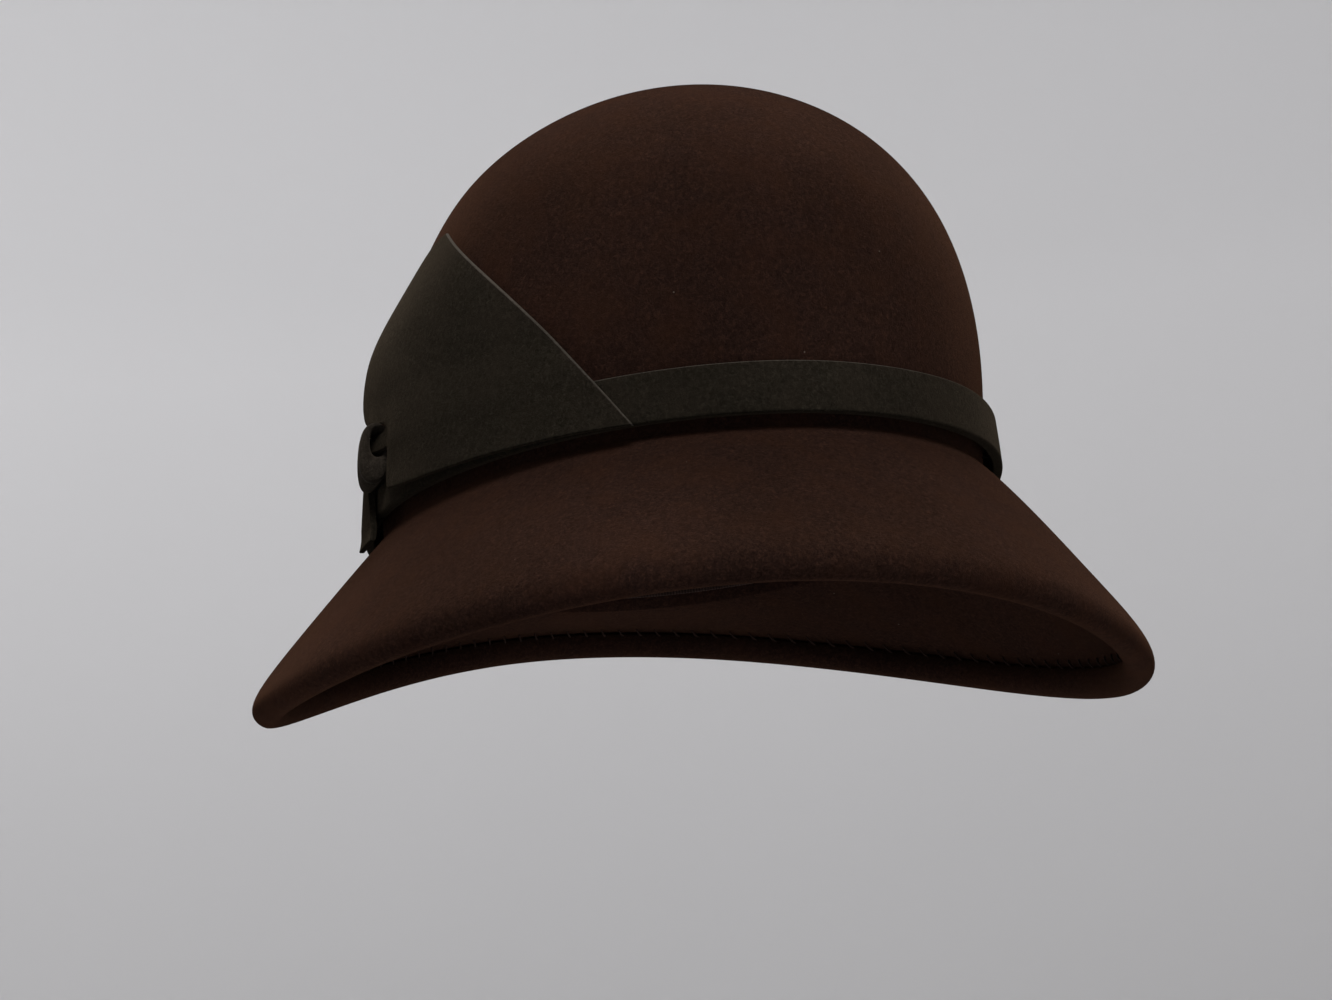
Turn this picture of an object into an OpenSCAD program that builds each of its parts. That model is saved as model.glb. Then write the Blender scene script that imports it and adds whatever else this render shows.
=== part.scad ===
// Women's felt cloche: one blocked felt hood with a rolled, wired brim edge,
// a narrow felt band and a wide side flap gathered through a felt loop.
//
// Frame: the origin is the middle of the head opening, +Z points up through
// the crown, -Y is the wearer's front and +X the wearer's left.
// Angles run around the crown from the front, positive towards the left.

/* [Head opening] */
// Half the outside width of the felt at the head opening
half_w = 86.2; // [82:0.2:90]
// Half the outside length of the felt at the head opening
half_l = 100; // [96:0.2:104]
// Thickness of the felt
felt_t = 2.6; // [2:0.1:3]

/* [Crown] */
// Height of the crown above the head opening
crown_h = 123; // [112:1:130]
// How squarely the crown's sides stand (power of the height)
side_power = 3.3; // [2.8:0.1:3.6]
// How full the crown's tip is (power of the radius)
tip_power = 1.85; // [1.7:0.05:2.2]
// Swelling of the crown halfway up, as a share of its radius
swell = 0.02; // [0:0.002:0.03]
// How far the tip leans forwards
lean_front = 14.6; // [0:0.2:16]
// How far the tip leans to the wearer's left
lean_left = 1.2; // [0:0.2:6]

/* [Brim] */
// Outward reach of the brim at the front
reach_front = 41; // [34:0.5:44]
// Outward reach of the brim at each side
reach_side = 39.5; // [34:0.5:46]
// Outward reach of the brim at the back
reach_back = 29; // [26:0.5:38]
// Outward reach of the brim halfway between
reach_corner = 37.5; // [33:0.5:40]
// Fall of the brim's edge at the front
drop_front = 48; // [40:0.5:54]
// Fall of the brim's edge at each side
drop_side = 51; // [44:0.5:56]
// Fall of the brim's edge at the back
drop_back = 6.5; // [6:0.5:18]
// Fall of the brim's edge halfway between
drop_corner = 39; // [34:0.5:42]
// Extra reach on the wearer's left, taken off the right
reach_skew = -0.5; // [-2:0.1:2]
// Twist of the brim's outline, as blocked by hand
reach_twist = -4.5; // [-5:0.1:3]
// Twist of the brim's fall, as blocked by hand
drop_twist = 3.4; // [-3:0.1:4]

/* [Rolled edge] */
// Outer radius of the rolled edge
roll_r = 5; // [4.8:0.1:5.6]
// How far round the felt is rolled, in degrees
roll_sweep = 290; // [240:1:292]
// Radius of the brim wire
wire_r = 0.7; // [0.5:0.1:0.9]

/* [Band] */
// Height of the band's lower edge above the head opening
band_low = 2.1; // [1:0.1:4]
// Width of the band
band_w = 14; // [10:0.5:15]
// Thickness of the band
band_t = 3.1; // [2:0.1:3.2]
// How far the band and the flap stand off the crown at its foot
flare = 3; // [2:0.2:3.6]

/* [Side flap] */
// Angle where the flap's cut edge meets the band, towards the right
flap_start = 28.5; // [24:0.5:32]
// Angle that the flap's cut edge spans
flap_span = 46; // [42:0.5:50]
// Thickness of the flap, loop and tail
trim_t = 1.8; // [1.4:0.1:2]
// Angle of the loop's front face, towards the right
loop_angle = 82.5; // [81:0.5:84]
// Angle that the loop spans
loop_span = 7; // [6.5:0.5:7.5]
// Height of the loop's middle above the head opening
loop_z = 17; // [16:0.2:19]

/* [Sweatband] */
// Width of the ribbon
ribbon_w = 24; // [20:1:28]
// Thickness of the ribbon
ribbon_t = 0.7; // [0.5:0.1:0.9]

/* [Hidden] */

felt_brown = [0.20, 0.12, 0.09];
felt_taupe = [0.15, 0.14, 0.12];
thread_dark = [0.12, 0.08, 0.07];
ribbon_brown = [0.14, 0.10, 0.08];

gap = 0.1;                      // air between a trim and what it lies on
steps = 48;                     // facets around the hat
angles = [for (i = [0 : steps - 1]) 360 * i / steps];
inner_gap = 0.25;               // air between the ribbon and the felt
felt_in = -felt_t - inner_gap;  // offset of the ribbon's outer face
ribbon_in = felt_in - ribbon_t; // offset of the ribbon's inner face
ribbon_low = 0.6;               // height of the ribbon's lower edge
band_off = band_t + gap;        // offset of the band's outer face
band_high = band_low + band_w;
over_band = band_off + 0.25;    // offset of what lies over the band
over_felt = 0.4;                // offset of what lies over the crown
wire_out = 0.6;                 // wire's place in the roll, towards the edge
thread_r = 0.3;                 // radius of the sewing thread

// ---- shape of the hood --------------------------------------------------

// A value set at the front, each side, the back and halfway between them
function blend4(a, front, side, back, corner) =
    let (
        mid = (front + back) / 2,
        m = (mid + side) / 2
    )
    (m + corner) / 2 + (front - back) / 2 * cos(a)
    + (mid - side) / 2 * cos(2 * a) + (m - corner) / 2 * cos(4 * a);

function reach(a) =
    blend4(a, reach_front, reach_side, reach_back, reach_corner)
    + reach_skew * sin(a) + reach_twist * sin(2 * a);

function drop(a) =
    blend4(a, drop_front, drop_side, drop_back, drop_corner)
    + drop_twist * sin(2 * a);

// Share of the crown's radius left at share s of its height
function fullness(s) =
    pow(1 - pow(s, side_power), 1 / tip_power) * (1 + 4 * swell * s * (1 - s));

// A point on the crown: a is the angle, z the height, off the distance outside
function crown_point(a, z, off) =
    let (k = fullness(max(0, min(1, z / crown_h))))
    [
        (half_w * k + off) * sin(a) + lean_left * z / crown_h,
        -(half_l * k + off) * cos(a) - lean_front * z / crown_h,
        z
    ];

// The same for a trim, which stands off the crown towards its foot
flare_high = 22;                // height up to which a trim stands off
function flare_out(z) = flare * pow(max(0, 1 - max(0, z) / flare_high), 1.3);
function trim_point(a, z, off) = crown_point(a, z, off + flare_out(z));

// A point on the dome's shell: t runs from 0 at the opening to 90 at the tip
function dome_point(a, t, inset) =
    let (
        h = crown_h - inset,
        s = pow(sin(t), 2 / side_power),
        k = pow(cos(t), 2 / tip_power) * (1 + 4 * swell * s * (1 - s)),
        up = h * s / crown_h
    )
    [
        (half_w - inset) * k * sin(a) + lean_left * up,
        -(half_l - inset) * k * cos(a) - lean_front * up,
        h * s
    ];

// Turns a brim profile point, o outwards and z up, into place at angle a
function at_rim(a, p) =
    let (
        nx = sin(a) / half_w,
        ny = -cos(a) / half_l,
        n = norm([nx, ny])
    )
    [half_w * sin(a) + nx / n * p[0], -half_l * cos(a) + ny / n * p[0], p[1]];

// Slope of the brim where it meets the roll, in degrees below level
shoulder = 5;                   // fall before the brim turns outwards
function slope(a) = atan2(drop(a) - shoulder, reach(a));
function along_brim(a) = [cos(slope(a)), -sin(slope(a))];
function off_brim(a) = [sin(slope(a)), cos(slope(a))];
function roll_centre(a) = [reach(a), -drop(a)];

// Control points of the brim's profile, from the crown's wall to the roll
function brim_controls(a) =
    let (
        end = roll_centre(a) + roll_r * off_brim(a),
        fall = max(1, -end[1])
    )
    [
        [0, 0],
        [6, -6.5 * fall / (fall + 12)],
        end - 0.6 * norm(end) * along_brim(a),
        end
    ];

function bezier(c, t) =
    pow(1 - t, 3) * c[0] + 3 * t * pow(1 - t, 2) * c[1]
    + 3 * t * t * (1 - t) * c[2] + pow(t, 3) * c[3];

function bezier_slope(c, t) =
    3 * pow(1 - t, 2) * (c[1] - c[0]) + 6 * t * (1 - t) * (c[2] - c[1])
    + 3 * t * t * (c[3] - c[2]);

function brim_point(a, t, inset) =
    let (
        c = brim_controls(a),
        d = bezier_slope(c, t),
        inwards = [d[1], -d[0]] / norm(d)
    )
    at_rim(a, bezier(c, t) + inset * inwards);

// A point of the roll: q turns from the brim's top face round the edge
function roll_point(a, q, r) =
    at_rim(a, roll_centre(a) + r * (cos(q) * off_brim(a) + sin(q) * along_brim(a)));

// ---- building closed skins ----------------------------------------------

// Skin between rings of points; open ends are closed across the ring,
// or to a single tip point where one is given
function skin_sides(n, k, closed) = [
    for (i = [0 : closed ? n - 1 : n - 2], j = [0 : k - 1])
        let (
            p = i * k + j,
            q = i * k + (j + 1) % k,
            r = (i + 1) % n * k + (j + 1) % k,
            s = (i + 1) % n * k + j
        )
        each [[p, q, r], [p, r, s]]
];

function end_cap(first, k, turn) = [
    for (j = [0 : k / 2 - 2])
        let (
            p = first + j,
            q = first + j + 1,
            r = first + k - 2 - j,
            s = first + k - 1 - j
        )
        each turn ? [[p, r, q], [p, s, r]] : [[p, q, r], [p, r, s]]
];

function tip_cap(tip, first, k, turn) = [
    for (j = [0 : k - 1])
        let (p = first + j, q = first + (j + 1) % k)
        turn ? [tip, q, p] : [tip, p, q]
];

// Rings that run the other way round are taken in reverse, to face outwards
module skin(rings, closed = false, reverse = false) {
    n = len(rings);
    k = len(rings[0]);
    order = reverse ? [n - 1 : -1 : 0] : [0 : n - 1];
    caps = closed ? [] : concat(end_cap(0, k, true), end_cap((n - 1) * k, k, false));
    polyhedron([for (i = order) each rings[i]], concat(skin_sides(n, k, closed), caps), 4);
}

module skin_with_tips(rings, tip0, tip1) {
    n = len(rings);
    k = len(rings[0]);
    polyhedron(
        [for (r = rings) each r, tip0, tip1],
        concat(
            skin_sides(n, k, false),
            tip_cap(n * k, 0, k, true),
            tip_cap(n * k + 1, (n - 1) * k, k, false)
        ),
        6
    );
}

// Section of a flat strip around the crown, with slightly rounded edges;
// a strip that stands off the crown's foot has the flare 1, any other 0
function strip_section(a, z0, z1, off0, off1, round, rows, flared = 0) =
    let (
        side = off1 > off0 ? round : -round,
        z = [for (i = [0 : rows]) z0 + round + (z1 - z0 - 2 * round) * i / rows],
        path = concat(
            [[z0, off1 - side]],
            [for (i = [0 : rows]) [z[i], off1]],
            [[z1, off1 - side], [z1, off0]],
            [for (i = [rows : -1 : 0]) [z[i], off0]],
            [[z0, off0]]
        )
    )
    [for (p = path) crown_point(a, p[0], p[1] + flared * flare_out(p[0]))];

// One stitch, or any short rod, from point p to point q
module rod(p, q, r) {
    d = q - p;
    translate(p)
        rotate([0, acos(d[2] / norm(d)), atan2(d[1], d[0])])
            cylinder(h = norm(d), r = r, $fn = 24);
}

// ---- hood ---------------------------------------------------------------

crown_rows = 13;
foot_t = [3.3, 1];              // extra rows near the crown's foot
brim_rows = 7;
roll_rows = 12;

module felt_body() {
    dome_t = concat([for (i = [crown_rows : -1 : 1]) 90 * i / (crown_rows + 1)], foot_t);
    brim_s = [for (i = [0 : brim_rows - 1]) i / brim_rows];
    roll_q = [for (i = [0 : roll_rows]) roll_sweep * i / roll_rows];
    hollow = roll_r - felt_t;
    rings = concat(
        [for (t = dome_t) [for (a = angles) dome_point(a, t, 0)]],
        [for (s = brim_s) [for (a = angles) brim_point(a, s, 0)]],
        [for (q = roll_q) [for (a = angles) roll_point(a, q, roll_r)]],
        [for (i = [roll_rows : -1 : 0]) [for (a = angles) roll_point(a, roll_q[i], hollow)]],
        [for (i = [brim_rows - 1 : -1 : 0]) [for (a = angles) brim_point(a, brim_s[i], felt_t)]],
        [for (i = [len(dome_t) - 1 : -1 : 0]) [for (a = angles) dome_point(a, dome_t[i], felt_t)]]
    );
    color(felt_brown)
        skin_with_tips(rings, dome_point(0, 90, 0), dome_point(0, 90, felt_t));
}

// ---- wired edge ---------------------------------------------------------

wire_steps = 72;
wire_break = 0.15;              // half the angle left between the wire's ends

function wire_centre(a) = roll_centre(a) + wire_out * along_brim(a);

module brim_wire() {
    span = 360 - 2 * wire_break;
    color("silver")
        skin([
            for (i = [0 : wire_steps])
                let (a = 180 + wire_break + span * i / wire_steps)
                [
                    for (j = [0 : 7])
                        let (q = 45 * j + 22.5)
                        at_rim(a, wire_centre(a) + wire_r * [cos(q), sin(q)])
                ]
        ]);
}

// Short sleeve over the two ends of the wire, at the back
module wire_joiner() {
    half = 4;
    bore_r = wire_r + 0.25;
    sleeve_r = bore_r + 0.4;
    middle = at_rim(180, wire_centre(180));
    d = at_rim(179, wire_centre(179)) - at_rim(181, wire_centre(181));
    u = d / norm(d);
    color("gainsboro")
        difference() {
            rod(middle - half * u, middle + half * u, sleeve_r);
            rod(middle - (half + 1) * u, middle + (half + 1) * u, bore_r);
        }
}

// Row of stitches that holds the rolled felt against the underside
module edge_stitches() {
    count = 120;
    half = 0.7;                 // half a stitch, as an angle
    lift = roll_r - felt_t - thread_r - 0.45;
    back = roll_r * sin(roll_sweep) - thread_r - 0.3;
    color(thread_dark)
        for (i = [0 : count - 1]) {
            a = 360 * i / count;
            p = roll_centre(a - half) + lift * off_brim(a - half) + back * along_brim(a - half);
            q = roll_centre(a + half) + lift * off_brim(a + half) + back * along_brim(a + half);
            rod(at_rim(a - half, p), at_rim(a + half, q), thread_r);
        }
}

// ---- sweatband ----------------------------------------------------------

lap_steps = 1;                  // facets by which the ribbon's ends overlap
lap = lap_steps * 360 / steps;

module sweatband() {
    color(ribbon_brown)
        skin([
            for (i = [0 : steps + lap_steps])
                let (over = i < steps ? 0 : ribbon_t + gap)
                strip_section(
                    180 + 360 * i / steps, ribbon_low, ribbon_low + ribbon_w,
                    felt_in - over, ribbon_in - over, ribbon_t * 0.3, 4
                )
        ], reverse = true);
}

module sweatband_stitches() {
    count = 80;
    half = 0.9;
    z = ribbon_low + 1.5;
    off = ribbon_in - thread_r - inner_gap - 0.1;
    color(thread_dark)
        for (i = [0 : count - 1]) {
            a = 182 + lap + (358 - 2 * lap) * i / count;
            rod(crown_point(a - half, z, off), crown_point(a + half, z, off), thread_r);
        }
}

// Blank woven tab sewn to the ribbon
label_a = 150;                  // angle of the label's middle
label_half = 8;                 // half the angle that it spans
label_low = 8;
label_h = 12;
label_t = 0.4;
label_off = ribbon_in - inner_gap - 0.15;

module size_label() {
    color("dimgray")
        skin([
            for (i = [0 : 6])
                strip_section(
                    label_a - label_half + 2 * label_half * i / 6,
                    label_low, label_low + label_h,
                    label_off, label_off - label_t, 0.1, 2
                )
        ], reverse = true);
}

module label_stitches() {
    inset = 0.8;                // angle from the label's end to its stitches
    off = label_off - label_t - thread_r - 0.05;
    color(thread_dark)
        for (side = [-1, 1], z = [label_low + 1.5 : 3 : label_low + label_h - 1.5]) {
            a = label_a + side * (label_half - inset);
            rod(crown_point(a, z, off), crown_point(a, z + 2, off), thread_r * 0.8);
        }
}

// ---- band ---------------------------------------------------------------

band_join = 90;                 // angle of the band's butted ends, on the right

module hat_band() {
    half_gap = 0.25;
    span = 360 - 2 * half_gap;
    color(felt_taupe)
        skin([
            for (i = [0 : steps])
                strip_section(
                    -band_join + half_gap + span * i / steps,
                    band_low, band_high, gap, band_off, 0.5, 3, 1
                )
        ]);
}

// Hidden tacks that join the crown and the band's lower half
module band_tacks() {
    count = 16;
    z = band_low + 1.4;
    color(thread_dark)
        for (i = [0 : count - 1]) {
            a = 360 * (i + 0.5) / count;
            rod(crown_point(a, z, 0.3), trim_point(a, z, -0.25), thread_r * 0.8);
        }
}

// ---- side flap, loop and tail -------------------------------------------

function smooth(x) = let (t = max(0, min(1, x))) t * t * (3 - 2 * t);

// Offset that clears the band low down and settles on the crown above it
settle = 18;                    // height over which the flap settles
function rest_off(z) =
    over_felt + (over_band - over_felt) * smooth((band_high + settle - z) / settle);

loop_depth = 9.9;               // how far the loop's front stands out
loop_taper = 4;                 // how much less its back stands out
loop_half = 8.7;                // half the loop's height
hole_off = 3.5;                 // place of the loop's hole above the band
hole_z = loop_z + 3.6;          // height of the hole's middle
hole_deep = 2.6;                // half the hole's depth
hole_half = 3.9;                // half the hole's height

// Long edges of the flap as curves of angle and height: the lower edge lies
// along the band, and the upper one rolls over at the back of the flap
flap_high = 76.5;               // height of the flap's top corner
flap_bow = 27.5;                // bow that keeps the cut edge straight to the eye
neck = 4;                       // angle of the gathered neck before the loop
neck_low = hole_z - 2.7;
neck_high = hole_z + 2.4;
flap_end = loop_angle - neck;
flap_lower = [
    [flap_start, 1.6], [flap_start + 28, 3.2],
    [flap_end - 10, 1.6], [flap_end, 4.8]
];
flap_upper = [
    [flap_start + flap_span, flap_high], [flap_end + 17, 81],
    [flap_end + 33, 24.5], [flap_end + 1.5, loop_z + 9.4]
];
flap_puff = 3.6;                // how far the flap swells before the loop
flap_tuck = 0.84;               // share of the flap before its neck

// How far the flap's rows bend round the loop instead of running straight
function round_loop(out) = smooth((out - 0.35) / 0.35);

function flap_point(u, v, lift) =
    let (
        out = min(1, u / flap_tuck),
        low = bezier(flap_lower, out),
        high = bezier(flap_upper, out),
        turn = low + [0.12 * (high[0] - low[0]), 0.96 * (high[1] - low[1])],
        middle = (low + high) / 2 * (1 - round_loop(out)) + turn * round_loop(out),
        spot = low * pow(1 - v, 2) + 2 * middle * v * (1 - v) + high * v * v,
        into = max(0, u - flap_tuck) / (1 - flap_tuck) * (neck + loop_span - 2),
        squeeze = smooth(into / (0.6 * neck)),
        free_z = spot[1] + flap_bow * v * (1 - v) * pow(1 - out, 2),
        z = free_z + (neck_low + (neck_high - neck_low) * v - free_z) * squeeze,
        low_down = 1 - 0.45 * smooth((34 - z) / 20),
        puff = flap_puff * smooth(2 * out - 0.3) * smooth((76 - z) / 26) * low_down,
        free_off = rest_off(z) + puff,
        passing = over_band + hole_off - 2,
        off = free_off + (passing - free_off) * squeeze,
        bunched = 1.1 * smooth((into - neck + 0.5) / 4),
        thin = 1 - 0.4 * smooth((z - 48) / 30) - 0.25 * squeeze + bunched
    )
    trim_point(-spot[0] - into, z, off + lift * thin);

module side_flap() {
    before = 18;                // rows up to the neck
    after = 8;                  // rows in the neck
    us = concat(
        [for (i = [0 : before]) flap_tuck * i / before],
        [for (i = [1 : after]) flap_tuck + (1 - flap_tuck) * i / after]
    );
    vs = 14;
    color(felt_taupe)
        skin([
            for (u = us)
                concat(
                    [for (j = [0 : vs]) flap_point(u, j / vs, trim_t)],
                    [for (j = [vs : -1 : 0]) flap_point(u, j / vs, 0)]
                )
        ], reverse = true);
}

// A power that keeps the sign, for softly squared rounds
function signed(x, p) = sign(x) * pow(abs(x), p);

// A point of the loop: a is the angle round the crown, q turns round the loop,
// and s runs from its outside (0) to its hole (1)
function loop_point(a, q, s) =
    let (
        back = (a - loop_angle) / loop_span,
        c = signed(cos(q), 0.85),
        up = signed(sin(q), 0.85),
        depth = loop_depth - loop_taper * back,
        deep = hole_deep * (1 - 0.12 * back),
        off = depth / 2 * (1 + c) * (1 - s) + (hole_off - 0.35 * back + deep * c) * s,
        z = (loop_z + loop_half * up) * (1 - s) + (hole_z + hole_half * up) * s
    )
    trim_point(-a, z, over_band + off);

// Felt loop with a thick folded foot, which draws the flap's end together
module knot_loop() {
    sides = 28;
    section = 14;
    color(felt_taupe)
        skin([
            for (j = [0 : sides - 1])
                [
                    for (i = [0 : section - 1])
                        let (w = 360 * i / section)
                        loop_point(
                            loop_angle + loop_span / 2 * (1 - signed(cos(w), 0.5)),
                            360 * j / sides, 0.5 - 0.5 * signed(sin(w), 0.5)
                        )
                ]
        ], closed = true);
}

// Loose end that leaves the loop at its back and hangs down over the band to
// the brim. Its two long edges are curves in angle and height.
loop_back = loop_angle + loop_span + 0.5;
tail_upper = [
    [loop_back, loop_z + 8], [loop_back + 6, loop_z + 7],
    [loop_back + 5, 8], [loop_back + 3.5, -6]
];
tail_lower = [
    [loop_back, loop_z - 5], [loop_back + 0.5, loop_z - 9],
    [loop_back - 3, 3], [loop_back - 3.5, -5.7]
];
function tail_point(u, v, lift) =
    let (
        edge0 = bezier(tail_lower, u),
        edge1 = bezier(tail_upper, u),
        spot = edge0 + (edge1 - edge0) * v,
        root = 2 * smooth(1 - 4 * u),
        over_brim = 0.03 * pow(max(0, -spot[1]), 2)
    )
    trim_point(-spot[0], spot[1], over_band + 0.5 + root + over_brim + lift);

module tail() {
    us = 16;
    vs = 5;
    color(felt_taupe)
        skin([
            for (i = [0 : us])
                concat(
                    [for (j = [0 : vs]) tail_point(i / us, j / vs, trim_t)],
                    [for (j = [vs : -1 : 0]) tail_point(i / us, j / vs, 0)]
                )
        ], reverse = true);
}

// Tacks under the loop, in the corners above and below where it lies on the band
module knot_tacks() {
    rise = loop_half - 1.5;
    half = 0.6;
    off = over_band + 0.4;
    color(thread_dark)
        for (i = [0.45, 0.65, 0.85], side = [-1, 1]) {
            a = -loop_angle - loop_span * i;
            z = loop_z + side * rise;
            rod(trim_point(a - half, z, off), trim_point(a + half, z, off), thread_r * 0.7);
        }
}

felt_body();
brim_wire();
wire_joiner();
edge_stitches();
sweatband();
sweatband_stitches();
size_label();
label_stitches();
hat_band();
band_tacks();
side_flap();
knot_loop();
tail();
knot_tacks();
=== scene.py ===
"""Looks of the felt cloche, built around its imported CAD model.

Shapes are worked out in millimetres and written to Blender in metres. They
follow the CAD model's formulas, with small additions that it doesn't have:
uneven felt with one shallow dent, a softer start to the rolled edge, a slight
belly on the band, and a flap that swells more gently and has small gathers.
Angles run around the crown from the front, positive towards the wearer's left
(+X); the wearer's front is -Y.
"""

import math

import bpy
import numpy as np
from mathutils import Matrix, Vector


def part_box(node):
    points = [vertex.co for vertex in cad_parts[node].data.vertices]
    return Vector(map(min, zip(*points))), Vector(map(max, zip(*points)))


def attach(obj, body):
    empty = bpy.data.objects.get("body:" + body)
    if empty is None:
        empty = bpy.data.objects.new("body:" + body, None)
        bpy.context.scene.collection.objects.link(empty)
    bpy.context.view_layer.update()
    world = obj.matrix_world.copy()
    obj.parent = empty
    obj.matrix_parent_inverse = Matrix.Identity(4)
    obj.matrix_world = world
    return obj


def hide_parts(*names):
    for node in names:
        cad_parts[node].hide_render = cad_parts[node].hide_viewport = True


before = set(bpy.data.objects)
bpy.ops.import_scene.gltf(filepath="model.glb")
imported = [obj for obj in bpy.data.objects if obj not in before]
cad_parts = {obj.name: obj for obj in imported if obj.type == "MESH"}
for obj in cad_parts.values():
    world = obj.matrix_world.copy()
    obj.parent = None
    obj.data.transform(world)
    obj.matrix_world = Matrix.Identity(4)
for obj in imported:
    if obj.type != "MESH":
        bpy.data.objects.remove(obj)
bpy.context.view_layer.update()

MM = 0.001
TAU = 2 * math.pi

# ---- driving dimensions, as in the CAD model (mm, degrees) ----------------

CROWN_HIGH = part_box("felt_body")[1][2] / MM
HALF_W, HALF_L = 86.2, 100.0
SIDE_POWER, TIP_POWER, SWELL = 3.3, 1.85, 0.02
LEAN_FRONT, LEAN_LEFT = 14.6, 1.2
FLARE, FLARE_HIGH = 3.0, 22.0
FELT_T = 2.6
REACH = dict(front=41, side=39.5, back=29, corner=37.5)
DROP = dict(front=48, side=51, back=6.5, corner=39)
REACH_SKEW, REACH_TWIST, DROP_TWIST = -0.5, -4.5, 3.4
SHOULDER = 5.0
BRIM_FOOT_OUT, BRIM_FOOT_DROP, BRIM_FOOT_EASE = 6.0, 6.5, 12.0
ROLL_R, ROLL_SWEEP = 5.0, 290.0
BAND_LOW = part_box("hat_band")[0][2] / MM
BAND_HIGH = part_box("hat_band")[1][2] / MM
BAND_T = 3.1
TRIM_T = 1.8                            # thickness of the flap and the tail
GAP = 0.1                               # between the crown and the band
OVER_BAND = BAND_T + GAP + 0.25
OVER_FELT = 0.4
FLAP_START, FLAP_SPAN = 28.5, 46.0
LOOP_ANGLE, LOOP_SPAN, LOOP_Z = 82.5, 7.0, 17.0
RIBBON_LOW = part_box("sweatband")[0][2] / MM
RIBBON_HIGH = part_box("sweatband")[1][2] / MM
RIBBON_T = 0.7
RIBBON_OUT = -FELT_T - 0.25

# ---- shape of the hood ----------------------------------------------------


def blend4(a, front, side, back, corner):
    """A value set at the front, each side, the back and halfway between."""
    mid = (front + back) / 2
    m = (mid + side) / 2
    around = (front - back) / 2 * np.cos(a) + (mid - side) / 2 * np.cos(2 * a)
    return (m + corner) / 2 + around + (m - corner) / 2 * np.cos(4 * a)


def reach(a):
    """How far the middle of the rolled edge stands out from the crown's foot."""
    return blend4(a, **REACH) + REACH_SKEW * np.sin(a) + REACH_TWIST * np.sin(2 * a)


def drop(a):
    """How far the middle of the rolled edge hangs below the crown's foot."""
    return blend4(a, **DROP) + DROP_TWIST * np.sin(2 * a)


def smooth(x):
    """Rises from 0 to 1 over x from 0 to 1, level at both ends."""
    t = np.clip(x, 0, 1)
    return t * t * (3 - 2 * t)


def smoother(x):
    """The same, with no change of curve at its ends."""
    t = np.clip(x, 0, 1)
    return t**3 * (t * (6 * t - 15) + 10)


# The dent and the waviness are only in the looks; the CAD crown is smooth.
DENT_ANGLE, DENT_SPREAD = -97.0, 27.0
DENT_Z, DENT_HIGH, DENT_DEEP = 77.0, 16.0, 2.2


def unevenness(a, z):
    """Waviness of hand-blocked felt, outwards, and a shallow dent at the wearer's right."""
    wave = 0.30 * np.sin(3 * a + 1.1 + z / 38) + 0.22 * np.sin(5 * a - 2.0 - z / 26)
    wave = wave + 0.14 * np.sin(9 * a + 0.7 + z / 15) + 0.12 * np.sin(z / 9 + 4 * a)
    aside = np.angle(np.exp(1j * (a - math.radians(DENT_ANGLE)))) / math.radians(DENT_SPREAD)
    pressed = DENT_DEEP * np.exp(-(aside**2) - ((z - DENT_Z) / DENT_HIGH) ** 2)
    return wave * smooth((CROWN_HIGH - 6 - z) / 50) - pressed


def crown_point(a, z, off):
    """Angle a in radians, height z, distance off outside the felt's face."""
    s = np.clip(z / CROWN_HIGH, 0, 1)
    k = (1 - s**SIDE_POWER) ** (1 / TIP_POWER) * (1 + 4 * SWELL * s * (1 - s))
    out = off + unevenness(a, z)
    x = (HALF_W * k + out) * np.sin(a) + LEAN_LEFT * z / CROWN_HIGH
    y = -(HALF_L * k + out) * np.cos(a) - LEAN_FRONT * z / CROWN_HIGH
    return np.stack(np.broadcast_arrays(x, y, z), -1)


def trim_point(a, z, off):
    """Like crown_point, for trims: they stand off the crown towards its foot."""
    low = np.maximum(0, 1 - np.maximum(z, 0) / FLARE_HIGH)
    return crown_point(a, z, off + FLARE * low**1.3)


def dome_point(a, t, inset):
    """Point of the dome's shell: t runs from 0 at the opening to pi/2 at the tip."""
    h = CROWN_HIGH - inset
    s = np.sin(t) ** (2 / SIDE_POWER)
    k = np.cos(t) ** (2 / TIP_POWER) * (1 + 4 * SWELL * s * (1 - s))
    z = h * s
    out = unevenness(a, z) * smooth(k * 6)
    x = ((HALF_W - inset) * k + out) * np.sin(a) + LEAN_LEFT * z / CROWN_HIGH
    y = -((HALF_L - inset) * k + out) * np.cos(a) - LEAN_FRONT * z / CROWN_HIGH
    return np.stack(np.broadcast_arrays(x, y, z), -1)


def at_rim(a, p):
    """Puts a profile point p = (outwards, up) of the brim in place at angle a."""
    nx, ny = np.sin(a) / HALF_W, -np.cos(a) / HALF_L
    n = np.hypot(nx, ny)
    out = p[..., 0] + unevenness(a, np.minimum(p[..., 1], 0))
    x = HALF_W * np.sin(a) + nx / n * out
    y = -HALF_L * np.cos(a) + ny / n * out
    return np.stack(np.broadcast_arrays(x, y, p[..., 1]), -1)


def brim_frame(a):
    """Roll centre, direction along the brim and direction off its top face."""
    slope = np.arctan2(drop(a) - SHOULDER, reach(a))
    along = np.stack([np.cos(slope), -np.sin(slope)], -1)
    off = np.stack([np.sin(slope), np.cos(slope)], -1)
    return np.stack([reach(a), -drop(a)], -1), along, off


def brim_controls(a):
    """Control points of the brim's top face, from the crown's foot to the roll."""
    centre, along, off = brim_frame(a)
    end = centre + ROLL_R * off
    fall = np.maximum(1, -end[..., 1])
    start = np.zeros_like(end)
    foot_drop = BRIM_FOOT_DROP * fall / (fall + BRIM_FOOT_EASE)
    foot = np.stack([BRIM_FOOT_OUT + 0 * fall, -foot_drop], -1)
    length = np.linalg.norm(end, axis=-1, keepdims=True)
    return start, foot, end - 0.6 * length * along, end


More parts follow.
